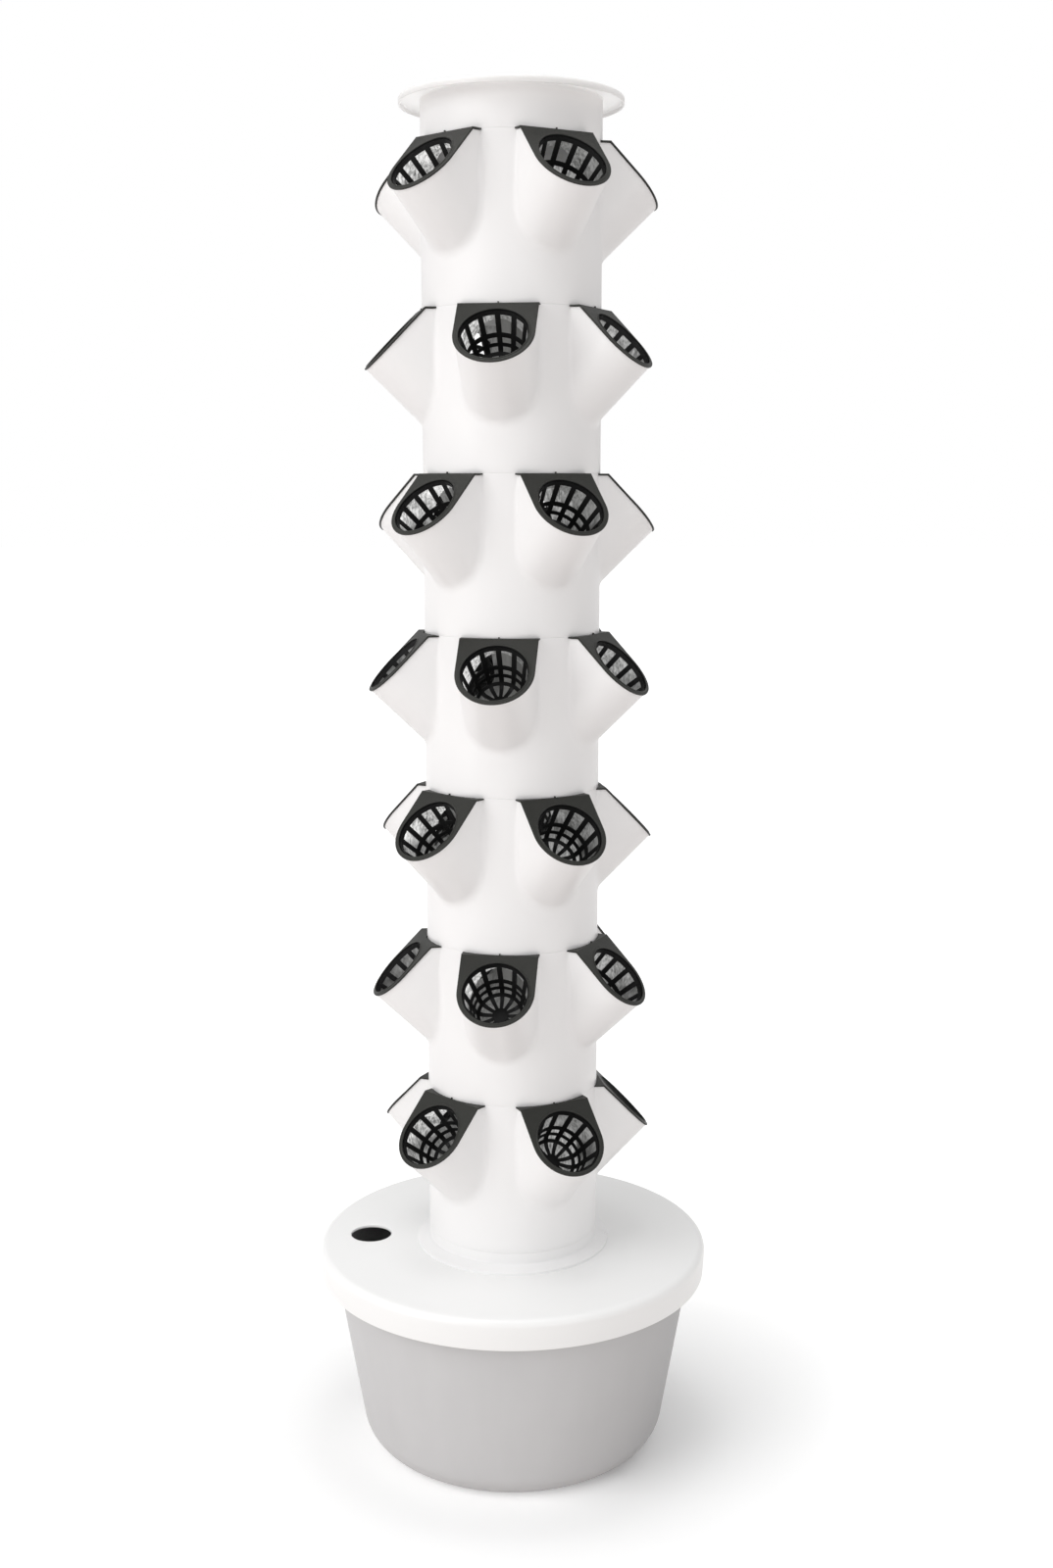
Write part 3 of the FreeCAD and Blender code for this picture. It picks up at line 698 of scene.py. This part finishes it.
cup = {"radius": 43.9, "lift": 0.8, "plate": 2.0, "mouth": 37.5, "shift": 1.0, "shelf": 1.6,
       "hug": 100.35, "shelfEdge": 0.4, "sharp": 38.0, "nearly": 1e-6, "touch": 0.01,
       "arc": 41, "side": 12, "across": 17, "shelfCells": 33}
bead = {"rise": 0.9, "wall": 1.0, "root": 1.2, "band": 4.5,
        "top": [(0.0, -0.4), (0.4, 0.0), (1.1, 0.0), (1.6, -0.4)], "foot": [(1.9, 0.1), (2.4, 0.0)],
        "edge": [(1.4, 0.0), (0.6, -0.05), (0.15, -0.25), (0.0, -0.7)],
        "back": [(0.0, 0.3), (0.3, 0.0)]}
nub = {"half": 0.6, "from": 0.1, "to": 1.9, "foot": -1.0, "rise": 1.8, "round": 0.4}
basket = {"ribs": 12, "ribWidth": 5.8, "ribDepth": 1.7, "spokeWidth": 3.5, "narrowFrom": 10.0,
          "narrowReach": 24.0, "top": (38.0, 1.0), "footRadius": 27.0, "footRound": 13.0,
          "depth": 55.0, "rings": [(29.5, 5.2), (41.0, 4.0), (52.0, 4.6)], "bandOffset": 0.6,
          "inset": 0.15, "hub": 9.5, "hubThick": 2.0, "hubOverlap": 2.0, "hubEdges": (0.3, 0.5),
          "hubSteps": 3, "hubStride": 3, "arcSteps": 8, "ribRows": 9, "ringCells": 48,
          "slopeStep": 0.3}
mouthDown = spout["drop"] + cup["shift"]


def cupFlange():
    # stations of a section carried round the mouth, easing from the bead to the flange's outline
    phi = np.linspace(-math.pi / 2, math.pi / 2, cup["arc"])
    w, middle, thick = cup["radius"], spout["drop"] - cup["lift"], cup["plate"]
    sideDown = middle * np.linspace(1, 0, cup["side"])
    across = np.linspace(w, -w, cup["across"])

    def outline(inset):
        # half round below, straight sides, and the line of the bend
        r = w - inset
        return np.concatenate([
            stacked(middle + r * np.cos(phi), r * np.sin(phi)), stacked(sideDown, r)[1:],
            stacked(0.0, across * r / w)[1:], stacked(sideDown[::-1], -r)[1:-1]])

    edge = outline(0.0)
    away = np.arctan2(edge[:, 1], edge[:, 0] - mouthDown)
    onBend = np.abs(edge[:, 0]) < cup["nearly"]

    def circle(outwards):
        r = cup["mouth"] + outwards
        return stacked(mouthDown + r * np.cos(away), r * np.sin(away))

    # (line round the mouth, way out along the spout): up inside the mouth, over the bead, out to
    # the flange's edge, and back under it to the basket's band
    band, touch = -bead["band"], cup["touch"]
    stations = [(circle(bead["wall"]), band), (circle(0.0), band)]
    stations += [(circle(outwards), bead["rise"] + up) for outwards, up in bead["top"]]
    stations += [(circle(outwards), up) for outwards, up in bead["foot"]]
    stations += [(outline(inset), up) for inset, up in bead["edge"]]
    stations += [(outline(inset), up - thick) for inset, up in bead["back"]]
    stations += [(circle(bead["root"]), -thick), (circle(bead["wall"]), band)]
    rows = []
    for flat, out in stations:
        # where the flange meets the shelf, the section stays within the plate and below the bend
        level = np.where(onBend, max(out, -thick), out)
        onTop = onBend & (level <= touch) & (level > touch - thick)
        down = np.where(onTop, np.maximum(flat[:, 0], 0.0), flat[:, 0])
        rows.append(onFlange(down, flat[:, 1], level))
    rows = np.stack(rows)
    patches = [(rows[:3], True, 1), (rows[2:-1], True, 0), (rows[-2:], True, 1)]
    # level shelf that hugs the column, with a thin turned edge
    y = np.linspace(-w, w, cup["shelfCells"])
    hug, lip = np.sqrt(cup["hug"] ** 2 - y**2), cup["shelfEdge"]
    under = spout["bend"] + thick * (cosine - 1) / sine
    strip = [(spout["bend"], 0.0), (hug + lip, 0.0), (hug, -lip), (hug, -cup["shelf"]),
             (under, -thick)]
    grid = np.stack([stacked(x, y, z) for x, z in strip])
    patches.append((grid, False, 0))
    for end in (0, -1):
        s = grid[:, end]
        patches.append((np.stack([s[[0, 1, 2]], s[[4, 3, 2]]]), False, 0))
    # small nub in the middle of the shelf's inner edge: a box whose top draws in to a point
    x0, x1, top = cup["hug"] + nub["from"], cup["hug"] + nub["to"], nub["rise"]
    block, mx = [], (x0 + x1) / 2
    levels = ((nub["foot"], 0.0), (top - nub["round"], 0.0), (top, nub["round"]), (top, math.inf))
    for z, inset in levels:
        hx, hy = max((x1 - x0) / 2 - inset, 0.0), max(nub["half"] - inset, 0.0)
        block.append([(mx - hx, -hy, z), (mx + hx, -hy, z), (mx + hx, hy, z), (mx - hx, hy, z)])
    patches.append((np.array(block), True, 0))
    return patches


def cupBasket():
    # meridian as (radius, depth): straight taper, a round foot, then the floor to the hub
    deep, thick, inset, hub = (basket[k] for k in ("depth", "ribDepth", "inset", "hub"))
    section = roundedLine([
        basket["top"], (basket["footRadius"], deep, basket["footRound"]),
        (hub - basket["hubOverlap"], deep)], basket["arcSteps"], closed=False)
    run = np.concatenate([[0], np.cumsum(np.hypot(*np.diff(section, axis=0).T))])

    def at(where):
        # points of the meridian by their way along it
        return stacked(*(np.interp(where, run, section[:, i]) for i in (0, 1)))

    def normals(where):
        # the direction between two near points, turned a quarter
        step = basket["slopeStep"]
        d = at(np.minimum(where + step, run[-1])) - at(np.maximum(where - step, 0.0))
        d /= np.hypot(d[:, 0], d[:, 1])[:, None]
        return stacked(d[:, 1], -d[:, 0])

    def bar(line, sideways, angle):
        # the line turned to its angle and moved sideways
        x = line[:, 0] * math.cos(angle) - sideways * math.sin(angle)
        y = line[:, 0] * math.sin(angle) + sideways * math.cos(angle)
        return onFlange(mouthDown + x, y, -line[:, 1])

    def spun(line, angles):
        # the line carried round the basket's axis
        r = line[:, :1]
        return onFlange(mouthDown + r * np.cos(angles), r * np.sin(angles), -line[:, 1:])

    # ribs: a flat bar follows the meridian, narrowing towards the hub
    where = np.unique(np.concatenate([np.linspace(0, run[-1], basket["ribRows"]), run[1:-1]]))
    line, out, spoke = at(where), normals(where), basket["spokeWidth"]
    wider = np.clip((line[:, 0] - basket["narrowFrom"]) / basket["narrowReach"], 0, 1)
    half = (spoke + (basket["ribWidth"] - spoke) * wider) / 2
    inner = line - out * thick
    patches = []
    for a in 2 * math.pi * np.arange(basket["ribs"]) / basket["ribs"]:
        sides = [bar(line, -half, a), bar(line, half, a), bar(inner, half, a), bar(inner, -half, a)]
        patches.append((np.stack(sides, axis=1), True, 1))
    # rings: square hoops at chosen ways along the meridian, and the band under the mouth
    angles = 2 * math.pi * np.arange(basket["ringCells"]) / basket["ringCells"]
    bandMiddle = bead["band"] / 2 + basket["bandOffset"]
    for centre, width in (*basket["rings"], (bandMiddle, bead["band"])):
        ends = np.array([centre - width / 2, centre + width / 2])
        rim = at(ends) - normals(ends) * inset
        core = rim - normals(ends) * (thick - 2 * inset)
        loop = np.stack([rim[0], rim[1], core[1], core[0], rim[0]])
        patches.append((spun(loop, angles), True, 1))
    # hub: a thin disc with eased edges in the middle of the floor
    top, (outEdge, inEdge) = deep - basket["hubThick"], basket["hubEdges"]
    disc = roundedLine([(0.0, deep), (hub, deep, outEdge), (hub, top, inEdge), (0.0, top)],
                       basket["hubSteps"], closed=False)
    patches.append((spun(disc, angles[::basket["hubStride"]]), True, 1))
    return patches


cupPatches = cupFlange() + cupBasket()
for tier in range(1, column["tiers"] + 1):
    for k in range(column["spouts"]):
        label = f"{tier}_{k + 1}"
        patches = placed(cupPatches, spoutAzimuth(tier, k), topOf(f"tier_{tier}"))
        buildPiece(f"netCup_{label}", patches, [finish["cupBlack"], finish["basketBlack"]],
                   f"cup_{label}", [f"net_cup_{label}"], sharp=cup["sharp"])
print("net cups made")

# collar, cap and the finishes of the inner pieces

collar = {"edge": 0.6, "ledge": 6.0, "ledgeHeight": 4.0, "ledgeEdge": 0.5, "arcSteps": 3,
          "steps": 180}


def makeCollar():
    # a ring with a spigot below, as a tier's, and a ledge inside that carries the shower plate
    top, tip, level = topOf("top_collar"), footOf("top_collar"), footOf("shower_plate")
    low, big, bore, edge = tip + spigot["depth"], column["radius"], column["bore"], collar["edge"]
    ledge, ledgeLow = bore - collar["ledge"], level - collar["ledgeHeight"]
    ledgeEdge, root = collar["ledgeEdge"], low + spigot["root"]
    section = roundedLine([
        (big, low, edge), (big, top, edge), (bore, top, edge), (bore, level),
        (ledge, level, ledgeEdge), (ledge, ledgeLow, ledgeEdge), (bore, ledgeLow), (bore, root),
        (spigot["bore"], root), (spigot["bore"], tip, edge), (spigot["radius"], tip, edge),
        (spigot["radius"], low)], collar["arcSteps"])
    patches = [(turned(section, collar["steps"]), True, 0)]
    # the collar's finish carries a painted glow towards its top
    buildPiece("topCollar", patches, [finish["collarPaintedGlow"]], "collar", ["top_collar"])


cap = {"lip": 7.5, "thickness": 2.6, "wall": 2.4, "topRound": 1.9, "lipRound": 0.9, "corner": 2.0,
       "ring": 9.0, "ringGap": 0.8, "ringWall": 2.5, "ringEdge": 0.6, "arcSteps": 6, "steps": 180}


def makeCap():
    # a shallow dish turned over: a lip at its edge, and a ring below that centres it in the collar
    top, radius, lipRound = topOf("top_cap"), outerRadius("top_cap"), cap["lipRound"]
    under, lip, inner = top - cap["thickness"], top - cap["lip"], radius - cap["wall"]
    ringOut, ringLow, edge = column["bore"] - cap["ringGap"], under - cap["ring"], cap["ringEdge"]
    ringIn = ringOut - cap["ringWall"]
    section = roundedLine([
        (0.0, top), (radius, top, cap["topRound"]), (radius, lip, lipRound), (inner, lip, lipRound),
        (inner, under, cap["corner"]), (ringOut, under, edge), (ringOut, ringLow, edge),
        (ringIn, ringLow, edge), (ringIn, under, edge), (0.0, under)], cap["arcSteps"],
        closed=False)
    dish = turned(section, cap["steps"], closed=False)
    buildPiece("topCap", [(dish, True, 0)], [capMilkAndPaintedGlow], "cap", ["top_cap"])


makeCollar()
makeCap()
innerFinish = {"shower_plate": "whitePlastic", "riser_lower": "pipeWhite",
               "riser_upper": "pipeWhite", "riser_coupling": "pipeWhite",
               "pump_body": "pumpBlack", "pump_cover": "pumpBlack"}
for node, plastic in innerFinish.items():
    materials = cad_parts[node].data.materials
    if not materials:
        materials.append(finish[plastic])
    for index in range(len(materials)):
        materials[index] = finish[plastic]
print("collar, cap and inner pieces made")

# floor, light and camera

studio = {"floorHalf": 30.0, "worldLevel": 0.67, "bounceColour": (0.82, 0.775, 0.755),
          "seenLevel": 0.95, "margin": 0.075, "paintedFootFill": 0.30, "fillFrom": 0.165,
          "fillReach": 0.085, "fillFront": 7.0, "fillLeft": 6.0, "fadeFrom": 0.24,
          "fadeReach": 0.22, "paintedFade": 0.14}
lamps = {
    "keyLamp": {"place": (-3.0, -2.2, 2.7), "target": (0.0, 0.0, 0.7), "size": 3.4, "power": 62.0},
    "topLamp": {"place": (-0.3, -0.2, 3.9), "target": (0.0, 0.0, 0.0), "size": 1.8, "power": 26.0},
    "frontLamp": {"place": (1.5, -3.2, 1.4), "target": (0.0, 0.0, 0.8), "size": 2.4,
                  "power": 10.0},
    "tubLamp": {"place": (-1.9, -1.3, 0.45), "target": (0.0, 0.0, 0.12), "size": 0.6,
                "power": 2.6}}


def lampLight(base, lamp):
    # light of a flat lamp on open floor: power over pi squared, times the lamp's height, times the
    # way along its aim, over the fourth power of the distance
    place = Vector(lamp["place"])
    aim = (Vector(lamp["target"]) - place).normalized()
    way = vectorMaths("SUBTRACT", i0=base, i1=place)
    along = vectorMaths("DOT_PRODUCT", 1, i0=way, i1=aim)
    square = vectorMaths("DOT_PRODUCT", 1, i0=way, i1=way)
    above = along * (lamp["power"] * place.z / math.pi**2)
    level = above.maths("DIVIDE", above, square * square)
    return level.maths("MAXIMUM", level, 0.0)


def seenBy(tree, *kinds):
    # 1 for rays of these kinds and 0 for all others
    path = tree.nodes.new("ShaderNodeLightPath")
    rays = [Val(tree, path.outputs[f"Is {kind} Ray"]) for kind in kinds]
    return sum(rays[1:], rays[0]).clamped()


def makeFloor():
    # to the camera the open floor is white: it glows by what the lamps and the world leave short
    # of white, so only the object's shadow shows; for bounced light it is plain pale plastic
    mesh = bpy.data.meshes.new("studioFloor")
    h = studio["floorHalf"]
    mesh.from_pydata([(-h, -h, 0), (h, -h, 0), (h, h, 0), (-h, h, 0)], [], [(0, 1, 2, 3)])
    floor = bpy.data.objects.new("studioFloor", mesh)
    bpy.context.scene.collection.objects.link(floor)
    material = bpy.data.materials.new("studioFloor")
    tree = clearedTree(material)
    base = objectPlace(tree)
    seen = seenBy(tree, "Camera", "Glossy", "Transmission")
    light = sum((lampLight(base, lamp) for lamp in lamps.values()), studio["worldLevel"])
    # painted light: a soft glow on the floor by the front left of the tub's foot, where the photo
    # has next to no contact shadow; its level is the square of how close it is, times how far to
    # the front and the left it lies
    away = vectorMaths("LENGTH", 1, i0=base)
    close = 1.0 - away.rising(studio["fillFrom"], studio["fillReach"])
    front, left = axisOf(base, "y") * -studio["fillFront"], axisOf(base, "x") * studio["fillLeft"]
    paintedFill = close * close * studio["paintedFootFill"] * (front - left).clamped()
    # painted light: the floor glows more with the distance from the tub, so the cast shadow dies
    # away
    paintedFade = away.rising(studio["fadeFrom"], studio["fadeReach"]) * studio["paintedFade"]
    short = (1.0 + studio["margin"] - light * studio["seenLevel"] + paintedFade).clamped() + paintedFill
    colour = seen.mixed(studio["bounceColour"], (studio["seenLevel"],) * 3)
    matte = base.node("ShaderNodeBsdfDiffuse", Color=colour)
    lift = base.node("ShaderNodeEmission", Strength=seen * short)
    both = base.node("ShaderNodeAddShader", i0=matte, i1=lift)
    out = tree.nodes.new("ShaderNodeOutputMaterial")
    tree.links.new(both.socket, out.inputs[0])
    mesh.materials.append(material)


def makeWorld():
    # even daylight all round, and plain white where the camera sees past the floor
    world = bpy.data.worlds.new("studioWorld")
    bpy.context.scene.world = world
    tree = clearedTree(world)
    daylight = studio["worldLevel"]
    level = seenBy(tree, "Camera", "Transmission") * (1.0 - daylight) + daylight
    sky = level.node("ShaderNodeBackground", Color=(1.0, 1.0, 1.0, 1.0), Strength=level)
    out = tree.nodes.new("ShaderNodeOutputWorld")
    tree.links.new(sky.socket, out.inputs[0])


def makeLamp(name, lamp):
    # a round flat lamp that looks from its place to its target
    light = bpy.data.lights.new(name, "AREA")
    light.shape, light.size, light.energy = "DISK", lamp["size"], lamp["power"]
    holder = bpy.data.objects.new(name, light)
    bpy.context.scene.collection.objects.link(holder)
    holder.location = lamp["place"]
    aim = Vector(lamp["target"]) - Vector(lamp["place"])
    holder.rotation_euler = aim.to_track_quat("-Z", "Y").to_euler()


makeFloor()
makeWorld()
for name, lamp in lamps.items():
    makeLamp(name, lamp)

view = {"place": (0.0166, -2.0781, 1.1491), "pitch": 9.47, "focalPixels": 1849.6,
        "tallPixels": 1600, "sensor": 36.0, "clip": (0.05, 200.0)}
camera = bpy.data.objects.new("photoCamera", bpy.data.cameras.new("photoCamera"))
bpy.context.scene.collection.objects.link(camera)
camera.data.sensor_width = view["sensor"]
camera.data.lens = view["focalPixels"] / view["tallPixels"] * view["sensor"]
camera.location = view["place"]
camera.rotation_euler = (math.radians(90.0 - view["pitch"]), 0.0, 0.0)
camera.data.clip_start, camera.data.clip_end = view["clip"]
bpy.context.scene.camera = camera
bpy.context.scene.view_settings.view_transform = "Standard"

print("scene ready")
